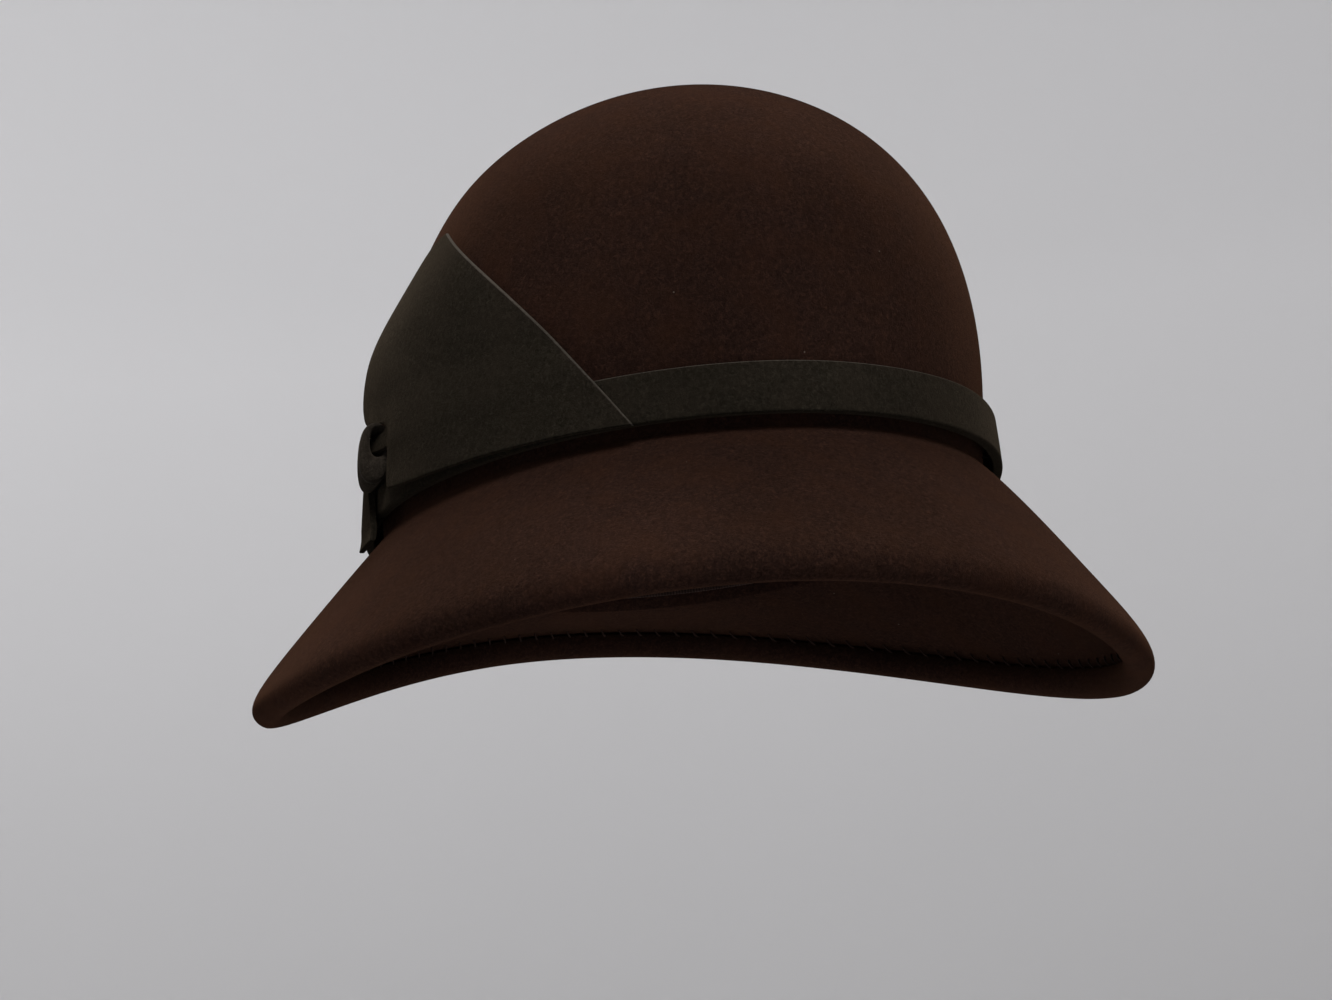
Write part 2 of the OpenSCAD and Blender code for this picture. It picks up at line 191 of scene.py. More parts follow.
def bezier(c, t):
    near, far = (1 - t) ** 3 * c[0], t**3 * c[3]
    return near + 3 * t * (1 - t) ** 2 * c[1] + 3 * t**2 * (1 - t) * c[2] + far


def bezier_slope(c, t):
    first = 3 * (1 - t) ** 2 * (c[1] - c[0]) + 6 * t * (1 - t) * (c[2] - c[1])
    return first + 3 * t**2 * (c[3] - c[2])


def brim_point(a, t, inset):
    """t runs from 0 at the crown's foot to 1 at the roll; inset goes into the felt."""
    c = brim_controls(a)
    d = bezier_slope(c, t)
    inwards = np.stack([d[..., 1], -d[..., 0]], -1) / np.linalg.norm(d, axis=-1, keepdims=True)
    return at_rim(a, bezier(c, t) + inset * inwards)


def roll_point(a, q, r):
    """q turns, in radians, from the brim's top face round its edge."""
    centre, along, off = brim_frame(a)
    return at_rim(a, centre + r * (math.cos(q) * off + math.sin(q) * along))


# ---- mesh helpers ---------------------------------------------------------


def add_mesh(name, points, faces, materials, slots=None):
    """points in millimetres; slots is one material index per face."""
    mesh = bpy.data.meshes.new(name)
    mesh.from_pydata((np.asarray(points) * MM).tolist(), [], faces)
    for m in materials:
        mesh.materials.append(m)
    if slots is not None:
        mesh.polygons.foreach_set("material_index", slots)
    mesh.polygons.foreach_set("use_smooth", [True] * len(mesh.polygons))
    mesh.update()
    mesh.validate()
    obj = bpy.data.objects.new(name, mesh)
    bpy.context.collection.objects.link(obj)
    return obj


def ring_faces(rows, across, wrap=True, first=0):
    """Quads between rows of points; wrap closes each row on itself."""
    last = across if wrap else across - 1
    i, j = np.meshgrid(np.arange(rows - 1), np.arange(last), indexing="ij")
    k = (j + 1) % across
    near, far = i * across, (i + 1) * across
    quads = np.stack([near + j, near + k, far + k, far + j], -1)
    return (quads.reshape(-1, 4) + first).tolist()


def run_along(grid):
    """Distance of each point of a grid from the start of its row."""
    steps = np.linalg.norm(np.diff(grid, axis=1), axis=2)
    return np.concatenate([np.zeros((len(grid), 1)), np.cumsum(steps, axis=1)], axis=1)


def from_border(grid):
    """Distance of each point of a grid from the sheet's nearest edge."""
    along, down = run_along(grid), run_along(grid.transpose(1, 0, 2)).T
    along = np.minimum(along, along[:, -1:] - along)
    return np.minimum(along, np.minimum(down, down[-1:] - down))


def from_side(grid, side):
    """Distance of each point of a grid from its first row or its last column."""
    if side == "first row":
        return run_along(grid.transpose(1, 0, 2)).T
    return run_along(grid[:, ::-1])[:, ::-1]


def slab(name, outer, inner, body, r, cut=None, highlight_zone=0.0, highlight_side="first row"):
    """Closed sheet between two matching grids, its edges rounded with radius r.

    The edge along highlight_side, and faces nearer to it than highlight_zone, take the
    material cut: a lighter felt, a painted highlight where that edge catches the light.
    """
    n, m = outer.shape[:2]
    into_edge = np.maximum(0, r - from_border(outer))
    rounded = r - np.sqrt(np.maximum(0, r * r - into_edge**2))
    normal = outer - inner
    normal = normal / np.linalg.norm(normal, axis=-1, keepdims=True)
    outer = outer - normal * rounded[..., None]
    inner = inner + normal * rounded[..., None]
    points = np.concatenate([outer.reshape(-1, 3), inner.reshape(-1, 3)])
    top = np.array(ring_faces(n, m, wrap=False))
    border = [i * m for i in range(n)] + [(n - 1) * m + j for j in range(1, m)]
    border += [i * m + m - 1 for i in range(n - 2, -1, -1)] + list(range(m - 2, 0, -1))
    steps = list(zip(border, border[1:] + border[:1]))
    rim = [[p, q, q + n * m, p + n * m] for p, q in steps]
    faces = top.tolist() + (top[:, ::-1] + n * m).tolist() + rim
    if cut is None:
        obj = add_mesh(name, points, faces, [body])
    else:
        away = from_side(outer, highlight_side).reshape(-1)
        top_highlight = (away[top].mean(axis=1) < highlight_zone).astype(int).tolist()
        rim_highlight = [int(max(away[p], away[q]) < highlight_zone) for p, q in steps]
        obj = add_mesh(name, points, faces, [body, cut], top_highlight * 2 + rim_highlight)
    fix_normals(obj)
    return obj


def spaced(low, high, count, edge):
    """Even values from low to high, with extra ones close to both ends."""
    near = np.array([0, 0.06, 0.2, 0.45, 0.8]) * edge
    even = np.linspace(low + 1.6 * edge, high - 1.6 * edge, count)
    return np.concatenate([low + near, even, (high - near)[::-1]])


def fix_normals(obj):
    """Turns all faces outwards, by the sign of the closed mesh's volume."""
    mesh = obj.data
    mesh.calc_loop_triangles()
    tris = np.empty(len(mesh.loop_triangles) * 3, int)
    mesh.loop_triangles.foreach_get("vertices", tris)
    co = np.empty(len(mesh.vertices) * 3)
    mesh.vertices.foreach_get("co", co)
    p = co.reshape(-1, 3)[tris.reshape(-1, 3)]
    if np.einsum("ij,ij->i", p[:, 0], np.cross(p[:, 1], p[:, 2])).sum() < 0:
        mesh.flip_normals()


# ---- materials ------------------------------------------------------------


class Nodes:
    """Shorthand for building one node material."""

    def __init__(self, name):
        self.material = bpy.data.materials.new(name)
        self.material.use_nodes = True
        self.tree = self.material.node_tree
        self.tree.nodes.clear()
        self.out = self.add("ShaderNodeOutputMaterial")
        self.shader = self.add("ShaderNodeBsdfPrincipled")
        self.link(self.shader.outputs[0], self.out.inputs["Surface"])
        self.place = self.add("ShaderNodeTexCoord").outputs["Object"]

    def add(self, kind, **settings):
        node = self.tree.nodes.new(kind)
        for key, value in settings.items():
            setattr(node, key, value)
        return node

    def link(self, a, b):
        self.tree.links.new(a, b)

    def noise(self, size_mm, detail=3.0, rough=0.6, distort=0.0):
        node = self.add("ShaderNodeTexNoise")
        self.link(self.place, node.inputs["Vector"])
        node.inputs["Scale"].default_value = 1 / (size_mm * MM)
        node.inputs["Detail"].default_value = detail
        node.inputs["Roughness"].default_value = rough
        node.inputs["Distortion"].default_value = distort
        return node.outputs["Fac"]

    def ramp(self, fac, *stops):
        node = self.add("ShaderNodeValToRGB")
        self.link(fac, node.inputs["Fac"])
        points = node.color_ramp.elements
        while len(points) < len(stops):
            points.new(0.5)
        for point, (where, colour) in zip(points, stops):
            point.position = where
            point.color = (*colour, 1)
        return node.outputs["Color"]

    def mix(self, fac, a, b, mode="MIX"):
        node = self.add("ShaderNodeMix", data_type="RGBA", blend_type=mode)
        for socket, value in ((0, fac), (6, a), (7, b)):
            if isinstance(value, (int, float)):
                node.inputs[socket].default_value = value
            elif isinstance(value, tuple):
                node.inputs[socket].default_value = (*value, 1)
            else:
                self.link(value, node.inputs[socket])
        return node.outputs[2]

    def math(self, operation, a, b=0.0):
        node = self.add("ShaderNodeMath", operation=operation)
        for socket, value in ((0, a), (1, b)):
            if isinstance(value, (int, float)):
                node.inputs[socket].default_value = value
            else:
                self.link(value, node.inputs[socket])
        return node.outputs[0]

    def bump(self, height, depth_mm, strength=1.0, after=None):
        node = self.add("ShaderNodeBump")
        node.inputs["Distance"].default_value = depth_mm * MM
        node.inputs["Strength"].default_value = strength
        self.link(height, node.inputs["Height"])
        if after is not None:
            self.link(after, node.inputs["Normal"])
        return node.outputs["Normal"]

    def finish(
        self, colour, normal, rough, sheen=0.0, sheen_tint=(1, 1, 1), sheen_rough=0.4, gloss=0.2
    ):
        self.link(colour, self.shader.inputs["Base Color"])
        if normal is not None:
            self.link(normal, self.shader.inputs["Normal"])
        values = {
            "Roughness": rough,
            "Sheen Weight": sheen,
            "Sheen Roughness": sheen_rough,
            "Sheen Tint": (*sheen_tint, 1),
            "Specular IOR Level": gloss,
        }
        for key, value in values.items():
            self.shader.inputs[key].default_value = value
        return self.material


def scaled(colour, by):
    return tuple(by * c for c in colour)


def grey(level):
    return (level,) * 3


LINT_COLOUR = (0.085, 0.068, 0.056)
LINT_CELL, LINT_SIZE, LINT_PATCH = 7.0, 0.032, 9.0     # mm, share of a cell, mm


def felt(name, dark, base, light, warm, tint, sheen, lint=0.0):
    """Matted wool: mottled fibres, soft blotches and a short nap."""
    n = Nodes(name)
    fibres = n.noise(1.1, detail=5, rough=0.75, distort=0.8)
    grain = n.noise(0.45, detail=3, rough=0.7)
    clouds = n.noise(15, detail=4, rough=0.62)
    broad = n.noise(60, detail=2, rough=0.5)
    mottled = n.ramp(fibres, (0.28, dark), (0.5, base), (0.74, light))
    specks = n.ramp(grain, (0.3, grey(0.72)), (0.55, grey(1.0)), (0.78, grey(1.5)))
    colour = n.mix(0.8, mottled, specks, "MULTIPLY")
    worn = n.ramp(clouds, (0.42, grey(0.0)), (0.75, grey(1.0)))
    colour = n.mix(n.math("MULTIPLY", worn, 0.6), colour, warm)
    shade = n.ramp(broad, (0.3, grey(0.84)), (0.7, grey(1.14)))
    colour = n.mix(1.0, colour, shade, "MULTIPLY")
    if lint:
        cells = n.add("ShaderNodeTexVoronoi")
        n.link(n.place, cells.inputs["Vector"])
        cells.inputs["Scale"].default_value = 1 / (LINT_CELL * MM)
        near = n.math("LESS_THAN", cells.outputs["Distance"], LINT_SIZE)
        some = n.math("GREATER_THAN", n.noise(LINT_PATCH, detail=0), 0.62)
        amount = n.math("MULTIPLY", n.math("MULTIPLY", near, some), lint)
        colour = n.mix(amount, colour, LINT_COLOUR)
    rough_nap = n.bump(fibres, 0.5, 0.5)
    fine_nap = n.bump(grain, 0.25, 0.5, after=rough_nap)
    return n.finish(colour, fine_nap, 0.95, sheen, tint, 0.45, 0.0)


def twisted_thread(name, colour):
    """Matte sewing thread, its plies darker between the strands."""
    n = Nodes(name)
    strands = n.noise(0.5, detail=3, rough=0.7, distort=0.6)
    tone = n.ramp(strands, (0.3, scaled(colour, 0.6)), (0.55, colour), (0.8, scaled(colour, 1.7)))
    return n.finish(tone, n.bump(strands, 0.12, 0.6), 0.8, gloss=0.05)


def angle_round(n):
    """The angle round the hat, in radians, and the height, for patterns on the ribbon."""
    split = n.add("ShaderNodeSeparateXYZ")
    n.link(n.place, split.inputs[0])
    return n.math("ARCTAN2", split.outputs["X"], split.outputs["Y"]), split.outputs["Z"]


RIBS_ROUND = 640.0                      # one rib every 0.9 mm
RIBBON_WEAVE, TAPE_WEAVE = 0.32, 0.42   # thread spacing, mm
TAPE_R = 83                             # the label's mean distance from the middle, mm


def grosgrain(name, colour):
    """Ribbed ribbon: ribs across its width, and a finer weave along it."""
    n = Nodes(name)
    around, height = angle_round(n)
    rib = n.math("SINE", n.math("MULTIPLY", around, RIBS_ROUND))
    weave = n.math("SINE", n.math("MULTIPLY", height, TAU / (RIBBON_WEAVE * MM)))
    fuzz = n.noise(0.6, detail=3, rough=0.7)
    blend = n.math("ADD", n.math("MULTIPLY", rib, 0.5), 0.5)
    tone = n.ramp(blend, (0.0, scaled(colour, 0.55)), (0.6, colour), (1.0, scaled(colour, 1.3)))
    worn = n.ramp(fuzz, (0.3, grey(0.8)), (0.7, grey(1.25)))
    tone = n.mix(1.0, tone, worn, "MULTIPLY")
    ribs = n.bump(n.math("ADD", blend, n.math("MULTIPLY", weave, 0.12)), 0.22, 0.8)
    return n.finish(tone, n.bump(fuzz, 0.08, 0.4, after=ribs), 0.7, gloss=0.08)


def woven_tape(name, colour):
    """Blank label tape in a fine plain weave."""
    n = Nodes(name)
    around, height = angle_round(n)
    warp = n.math("SINE", n.math("MULTIPLY", around, TAU * TAPE_R / TAPE_WEAVE))
    weft = n.math("SINE", n.math("MULTIPLY", height, TAU / (TAPE_WEAVE * MM)))
    cross = n.math("ADD", n.math("MULTIPLY", n.math("MULTIPLY", warp, weft), 0.5), 0.5)
    fuzz = n.noise(1.2, detail=4, rough=0.7)
    tone = n.ramp(cross, (0.0, scaled(colour, 0.7)), (1.0, scaled(colour, 1.15)))
    aged = n.ramp(fuzz, (0.3, grey(0.82)), (0.7, grey(1.12)))
    tone = n.mix(1.0, tone, aged, "MULTIPLY")
    return n.finish(tone, n.bump(cross, 0.12, 0.7), 0.75, 0.1, (1, 1, 0.95), 0.4, 0.2)


def drawn_metal(name, colour, rough):
    """Millinery wire or its sleeve: dull metal with fine marks."""
    n = Nodes(name)
    marks = n.noise(0.8, detail=5, rough=0.75, distort=0.8)
    tone = n.ramp(marks, (0.3, scaled(colour, 0.7)), (0.6, colour))
    n.shader.inputs["Metallic"].default_value = 1.0
    return n.finish(tone, n.bump(marks, 0.05, 0.5), rough, gloss=0.5)


def make_materials():
    """Felts are given as dark, base and light fibres, worn blotches and sheen tint."""
    m = {}
    m["brown"] = felt(
        "felt_brown_nap", (0.0052, 0.0027, 0.0022), (0.0134, 0.0071, 0.0056),
        (0.033, 0.0160, 0.0108), (0.0180, 0.0078, 0.0046), (1.0, 0.5, 0.3), 0.042, lint=0.9,
    )
    m["taupe"] = felt(
        "felt_taupe_nap", (0.0044, 0.0038, 0.0028), (0.0112, 0.0095, 0.0070),
        (0.026, 0.022, 0.0165), (0.0140, 0.0110, 0.0080), (0.9, 0.7, 0.5), 0.04,
    )
    # The loop's felt: the same taupe made lighter, painted light so that the loop looks lit.
    m["taupe_loop"] = felt(
        "felt_taupe_loop_side", (0.009, 0.0074, 0.0058), (0.021, 0.0172, 0.0138),
        (0.042, 0.0350, 0.0280), (0.0250, 0.0200, 0.0155), (0.9, 0.75, 0.6), 0.05,
    )
    # A still lighter taupe for edges that catch the light: a painted highlight, not the felt's own
    # colour.
    m["taupe_cut"] = felt(
        "felt_taupe_cut_edge", (0.018, 0.016, 0.0135), (0.036, 0.031, 0.026),
        (0.062, 0.054, 0.046), (0.042, 0.035, 0.028), (0.9, 0.8, 0.7), 0.08,
    )
    m["thread"] = twisted_thread("thread_dark_brown", (0.020, 0.0115, 0.009))
    m["thread_taupe"] = twisted_thread("thread_dark_taupe", (0.0035, 0.003, 0.0025))
    m["ribbon"] = grosgrain("ribbon_dark_brown", (0.024, 0.0135, 0.0105))
    m["label"] = woven_tape("label_tape_blank", (0.20, 0.17, 0.135))
    m["wire"] = drawn_metal("wire_drawn_steel", (0.50, 0.50, 0.51), 0.42)
    m["sleeve"] = drawn_metal("sleeve_pressed_aluminium", (0.66, 0.66, 0.68), 0.36)
    return m


materials = make_materials()

# ---- hood -----------------------------------------------------------------

AROUND = 384
DOME_ROWS, BRIM_ROWS, ROLL_ROWS = 104, 46, 34
INNER_DOME_ROWS, INNER_BRIM_ROWS = 40, 24
EASE_ROWS, EASE_TIMES = 14, 40
MEAN_HALF = 93                          # the crown's mean half width, mm


def even_dome(rows):
    """Values of t that space the dome's rows evenly along its profile."""
    t = np.linspace(0, 1, 6000) ** 2 * math.pi / 2
    s = np.sin(t) ** (2 / SIDE_POWER)
    k = np.cos(t) ** (2 / TIP_POWER)
    step = np.hypot(np.diff(MEAN_HALF * k), np.diff(CROWN_HIGH * s))
    run = np.concatenate([[0], np.cumsum(step)])
    return np.interp(np.linspace(0, run[-1], rows + 1), run, t)[::-1]


def eased(rows, middle, reach, times):
    """Softens the change of curve at the middle row, over the rows within reach of it."""
    rows = np.array(rows)
    away = np.abs(np.arange(len(rows)) - middle) / reach
    give = (0.5 * np.maximum(0, 1 - away**2))[1:-1, None, None]
    for _ in range(times):
        rows[1:-1] += give * ((rows[:-2] + rows[2:]) / 2 - rows[1:-1])
    return list(rows)


def make_hood():
    """Crown, brim and rolled edge as one closed shell, its outside first."""
    a = np.arange(AROUND) * TAU / AROUND
    outer_t, inner_t = even_dome(DOME_ROWS)[1:-1], even_dome(INNER_DOME_ROWS)[1:-1]
    turns = np.radians(np.linspace(0, ROLL_SWEEP, ROLL_ROWS))
    rows = [dome_point(a, t, 0) for t in outer_t]
    rows += [brim_point(a, t, 0) for t in np.linspace(0, 1, BRIM_ROWS)[:-1]]
    edge = len(rows)
    rows += [roll_point(a, q, ROLL_R) for q in turns]
    rows = eased(rows, edge, EASE_ROWS, EASE_TIMES)
    rows += [roll_point(a, q, ROLL_R - FELT_T) for q in turns[::-2]]
    rows += [brim_point(a, t, FELT_T) for t in np.linspace(1, 0, INNER_BRIM_ROWS)[1:]]
    rows += [dome_point(a, t, FELT_T) for t in inner_t[::-1]]
    tips = [dome_point(np.float64(0), math.pi / 2, inset) for inset in (0, FELT_T)]
    points = np.concatenate(rows + [np.array(tips)])
    faces = ring_faces(len(rows), AROUND)
    top, under = len(points) - 2, len(points) - 1
    last = (len(rows) - 1) * AROUND
    for j in range(AROUND):
        k = (j + 1) % AROUND
        faces.append([top, k, j])
        faces.append([under, last + j, last + k])
    hood = add_mesh("hood_felt", points, faces, [materials["brown"]])
    fix_normals(hood)
    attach(hood, "root")
    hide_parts("felt_body")


# ---- band -----------------------------------------------------------------

BAND_JOIN, BAND_SPLIT = 90.0, 0.5       # where the ends meet, and the gap left, degrees
BAND_BELLY = 0.15


def make_band():
    """Narrow felt strip round the foot of the crown, its ends butted under the loop."""
    turn = spaced(BAND_SPLIT / 2, 360 - BAND_SPLIT / 2, 520, 0.35)
    a = np.radians(turn - BAND_JOIN)[:, None]
    z = spaced(BAND_LOW, BAND_HIGH, 13, 0.7)[None, :]
    belly = BAND_BELLY * np.sin(np.pi * (z - BAND_LOW) / (BAND_HIGH - BAND_LOW))
    outer, inner = trim_point(a, z, BAND_T + belly), trim_point(a, z, GAP)
    # The band's top edge takes the painted highlight.
    band = slab(
        "band_felt", outer, inner, materials["taupe"], 0.7,
        materials["taupe_cut"], 0.75, "last column",
    )
    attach(band, "root")
    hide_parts("hat_band")
    return band


# ---- side flap ------------------------------------------------------------

LOOP_DEPTH, LOOP_TAPER, LOOP_HALF = 9.9, 4.0, 8.7
HOLE_OFF, HOLE_Z, HOLE_DEEP, HOLE_HALF = 3.5, LOOP_Z + 3.6, 2.6, 3.9
NECK = 4.0
NECK_LOW, NECK_HIGH = HOLE_Z - 2.7, HOLE_Z + 2.4
FLAP_END = LOOP_ANGLE - NECK
FLAP_HIGH = 76.5
FLAP_LOWER = np.array([
    [FLAP_START, 1.6], [FLAP_START + 28, 3.2],
    [FLAP_END - 10, 1.6], [FLAP_END, 4.8],
])
FLAP_UPPER = np.array([
    [FLAP_START + FLAP_SPAN, FLAP_HIGH], [FLAP_END + 17, 81],
    [FLAP_END + 33, 24.5], [FLAP_END + 1.5, LOOP_Z + 9.4],
])
FLAP_BOW = 27.5                         # bow of the cut edge, fading towards the loop
FLAP_TUCK = 0.84                        # share of the flap that lies before the neck
FLAP_PUFF = 3.6
SETTLE = 18.0
GATHERS, GATHER_DEEP = 2.2, 0.3
BUNCHED = 1.1                           # extra thickness in the loop, as a share of TRIM_T


def rest_off(z):
    """Offset that clears the band low down and settles on the crown above it."""
    return OVER_FELT + (OVER_BAND - OVER_FELT) * smooth((BAND_HIGH + SETTLE - z) / SETTLE)


def flap_point(u, v, lift):
    """u runs from the cut edge to the loop, v from the lower edge to the upper."""
    out = np.minimum(1, u / FLAP_TUCK)[..., None]
    low, high = bezier(FLAP_LOWER, out), bezier(FLAP_UPPER, out)
    round_loop = smoother((out - 0.2) / 0.6)
    middle = (low + high) / 2
    turn = low + (high - low) * np.array([0.12, 0.96])
    middle = middle + (turn - middle) * round_loop
    w = v[..., None]
    spot = low * (1 - w) ** 2 + 2 * middle * w * (1 - w) + high * w**2
    out = out[..., 0]
    z = spot[..., 1] + FLAP_BOW * v * (1 - v) * (1 - out) ** 2
    into = np.maximum(0, u - FLAP_TUCK) / (1 - FLAP_TUCK) * (NECK + LOOP_SPAN - 2)
    squeeze = smooth(into / (0.6 * NECK))
    z = z + (NECK_LOW + (NECK_HIGH - NECK_LOW) * v - z) * squeeze
    low_down = 1 - 0.45 * smooth((34 - z) / 20)
    puff = FLAP_PUFF * smoother(1.35 * out + 0.02) * smoother((80 - z) / 34) * low_down
    near_loop = smooth(3.2 * out - 1.9) * smooth(9 - 9 * out)
    gathers = near_loop * GATHER_DEEP * np.cos(TAU * GATHERS * v + 0.5)
    off = rest_off(z) + puff + gathers
    passing = OVER_BAND + HOLE_OFF - 2.0
    off = off + (passing - off) * squeeze
    bunched = BUNCHED * smooth((into - NECK + 0.5) / 4)
    thin = 1 - 0.4 * smooth((z - 48) / 30) - 0.25 * squeeze + bunched
    return trim_point(-np.radians(spot[..., 0] + into), z, off + lift * thin)


def make_flap():
    """Wide felt flap; its front end is cut straight, its back end goes into the loop."""
    u, v = np.meshgrid(spaced(0, 1, 170, 0.004), spaced(0, 1, 96, 0.006), indexing="ij")
    outer, inner = flap_point(u, v, TRIM_T), flap_point(u, v, 0)
    # The flap's front edge takes the painted highlight.
    flap = slab(
        "flap_felt", outer, inner, materials["taupe"], 0.5,
        materials["taupe_cut"], 0.8, "first row",
    )
    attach(flap, "root")
    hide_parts("side_flap")
    return flap


# ---- loop and tail --------------------------------------------------------


def squarer(x, power):
    """A sine or cosine, pushed towards a square wave by a power under 1."""
    return np.sign(x) * np.abs(x) ** power


def loop_wall(a, q, s):
    """Point of the loop: q turns round it, s runs from its outside (0) to its hole (1)."""
    back = (a - LOOP_ANGLE) / LOOP_SPAN
    cos_q, sin_q = squarer(np.cos(q), 0.85), squarer(np.sin(q), 0.85)
    depth = LOOP_DEPTH - LOOP_TAPER * back
    deep = HOLE_DEEP * (1 - 0.12 * back)
    off = depth / 2 * (1 + cos_q) * (1 - s) + (HOLE_OFF - 0.35 * back + deep * cos_q) * s
    z = (LOOP_Z + LOOP_HALF * sin_q) * (1 - s) + (HOLE_Z + HOLE_HALF * sin_q) * s
    return trim_point(-np.radians(a), z, OVER_BAND + off)


LOOP_AROUND, LOOP_SECTION = 120, 44
LOOP_HIGHLIGHT = (0.72, 0.88)                 # part of the section with a painted highlight, where its cut edge catches the light


def make_loop():
    """Soft felt loop with a thick folded foot; the flap's neck goes through its hole."""
    q = (np.arange(LOOP_AROUND) * TAU / LOOP_AROUND)[:, None]
    w = (np.arange(LOOP_SECTION) * TAU / LOOP_SECTION)[None, :]
    a = LOOP_ANGLE + LOOP_SPAN / 2 * (1 - squarer(np.cos(w), 0.5)) + 0 * q
    s = 0.5 - 0.5 * squarer(np.sin(w), 0.5) + 0 * q
    points = loop_wall(a, q + 0 * w, s).reshape(-1, 3)
    i, j = np.meshgrid(np.arange(LOOP_AROUND), np.arange(LOOP_SECTION), indexing="ij")
    i2, j2 = (i + 1) % LOOP_AROUND, (j + 1) % LOOP_SECTION
    faces = np.stack([i, i2, i2, i], -1) * LOOP_SECTION + np.stack([j, j, j2, j2], -1)
    # These faces of the section take the painted highlight.
    is_highlit = (w > LOOP_HIGHLIGHT[0]) & (w < LOOP_HIGHLIGHT[1])
    slots = np.broadcast_to(is_highlit, i.shape).astype(int).reshape(-1).tolist()
    # The whole loop takes the lighter taupe copy (painted light), and one band of its section a
    # painted highlight.
    loop = add_mesh(
        "loop_felt", points, faces.reshape(-1, 4).tolist(),
        [materials["taupe_loop"], materials["taupe_cut"]], slots,
    )
    fix_normals(loop)
    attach(loop, "root")
    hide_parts("knot_loop")


LOOP_BACK = LOOP_ANGLE + LOOP_SPAN + 0.5
TAIL_UPPER = np.array([
    [LOOP_BACK, LOOP_Z + 8], [LOOP_BACK + 6, LOOP_Z + 7],
    [LOOP_BACK + 5, 8], [LOOP_BACK + 3.5, -6.0],
])
TAIL_LOWER = np.array([
    [LOOP_BACK, LOOP_Z - 5], [LOOP_BACK + 0.5, LOOP_Z - 9],
    [LOOP_BACK - 3, 3], [LOOP_BACK - 3.5, -5.7],
])


def tail_point(u, v, lift):
    """u runs from the loop's back to the tip, v across the tail."""
    low, high = bezier(TAIL_LOWER, u[..., None]), bezier(TAIL_UPPER, u[..., None])
    spot = low * (1 - v[..., None]) + high * v[..., None]
    root = 2.0 * smooth(1 - 4 * u)
    over_brim = 0.03 * np.maximum(0, -spot[..., 1]) ** 2
    off = OVER_BAND + 0.5 + root + over_brim + lift
    return trim_point(-np.radians(spot[..., 0]), spot[..., 1], off)


def make_tail():
    """Felt end that comes out of the loop's back and hangs down to the brim."""
    u, v = np.meshgrid(spaced(0, 1, 50, 0.01), spaced(0, 1, 26, 0.02), indexing="ij")
    outer, inner = tail_point(u, v, TRIM_T), tail_point(u, v, 0)
    tail = slab("tail_felt", outer, inner, materials["taupe"], 0.5)
    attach(tail, "root")
    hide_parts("tail")
    return tail


# ---- ribbon and label -----------------------------------------------------


def make_ribbon():
    """Ribbed ribbon inside the opening, its end lapped over its start at the back."""
    turn = spaced(0, 375, 560, 0.2)[:, None]
    lapped = (RIBBON_T + 0.1) * smooth((turn - 350) / 9)
    z = spaced(RIBBON_LOW, RIBBON_HIGH, 20, 0.3)[None, :]
    a = np.radians(turn + 180) + 0 * z
    outer = crown_point(a, z, RIBBON_OUT - lapped)
    inner = crown_point(a, z, RIBBON_OUT - RIBBON_T - lapped)
    ribbon = slab("ribbon_grosgrain", outer, inner, materials["ribbon"], 0.3)
    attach(ribbon, "root")
    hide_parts("sweatband")
    return ribbon


LABEL_ANGLE, LABEL_HALF = 150.0, 8.0
LABEL_LOW, LABEL_HIGH = 8.0, 20.0
LABEL_T = 0.4
LABEL_OFF = RIBBON_OUT - RIBBON_T - 0.4


def make_label():
    """Blank woven tape, sewn to the ribbon at its two ends."""
    turn = spaced(LABEL_ANGLE - LABEL_HALF, LABEL_ANGLE + LABEL_HALF, 46, 0.12)[:, None]
    z = spaced(LABEL_LOW, LABEL_HIGH, 24, 0.2)[None, :]
    a = np.radians(turn) + 0 * z
    slack = 0.35 * np.sin(np.pi * (turn - LABEL_ANGLE + LABEL_HALF) / (2 * LABEL_HALF)) ** 2
    outer = crown_point(a, z, LABEL_OFF - slack)
    inner = crown_point(a, z, LABEL_OFF - LABEL_T - slack)
    label = slab("label_tape", outer, inner, materials["label"], 0.14)
    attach(label, "root")
    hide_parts("size_label")
    return label


# ---- sewing ---------------------------------------------------------------


STITCH_RINGS, STITCH_SIDES = 13, 8


def make_stitches(name, node, starts, stops, normals, r, arch, material):
    """Short plied threads from starts to stops, each arched along its normal."""
    t = np.linspace(0, 1, STITCH_RINGS)
    q = np.arange(STITCH_SIDES) * TAU / STITCH_SIDES
    points, faces = [], []
    for p0, p1, normal in zip(starts, stops, normals):
        first = len(points)
        tangent = (p1 - p0) / np.linalg.norm(p1 - p0)
        side = np.cross(tangent, normal)
        side = side / np.linalg.norm(side)
        up = np.cross(side, tangent)
        for k in range(STITCH_RINGS):
            middle = p0 + (p1 - p0) * t[k] + up * arch * math.sin(math.pi * t[k])
            thick = r * (0.55 + 0.45 * math.sin(math.pi * t[k]) ** 0.5)
            ply = (thick * (1 + 0.16 * np.cos(2 * q + 5.0 * t[k])))[:, None]
            points.extend(middle + ply * (np.cos(q)[:, None] * side + np.sin(q)[:, None] * up))
        faces += ring_faces(STITCH_RINGS, STITCH_SIDES, first=first)
        faces.append([first + j for j in range(STITCH_SIDES - 1, -1, -1)])
        faces.append([first + (STITCH_RINGS - 1) * STITCH_SIDES + j for j in range(STITCH_SIDES)])
    sewn = add_mesh(name, np.array(points), faces, [material])
    fix_normals(sewn)
    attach(sewn, "root")
    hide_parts(node)


def brim_place(a, off_by, along_by):
    """Point off the middle of the roll, and along the brim from it."""
    centre, along, off = brim_frame(a)
    return at_rim(a, centre + off_by * off + along_by * along)


EDGE_STITCHES, RIBBON_STITCHES, LABEL_STITCHES, BAND_TACKS = 120, 80, 4, 16


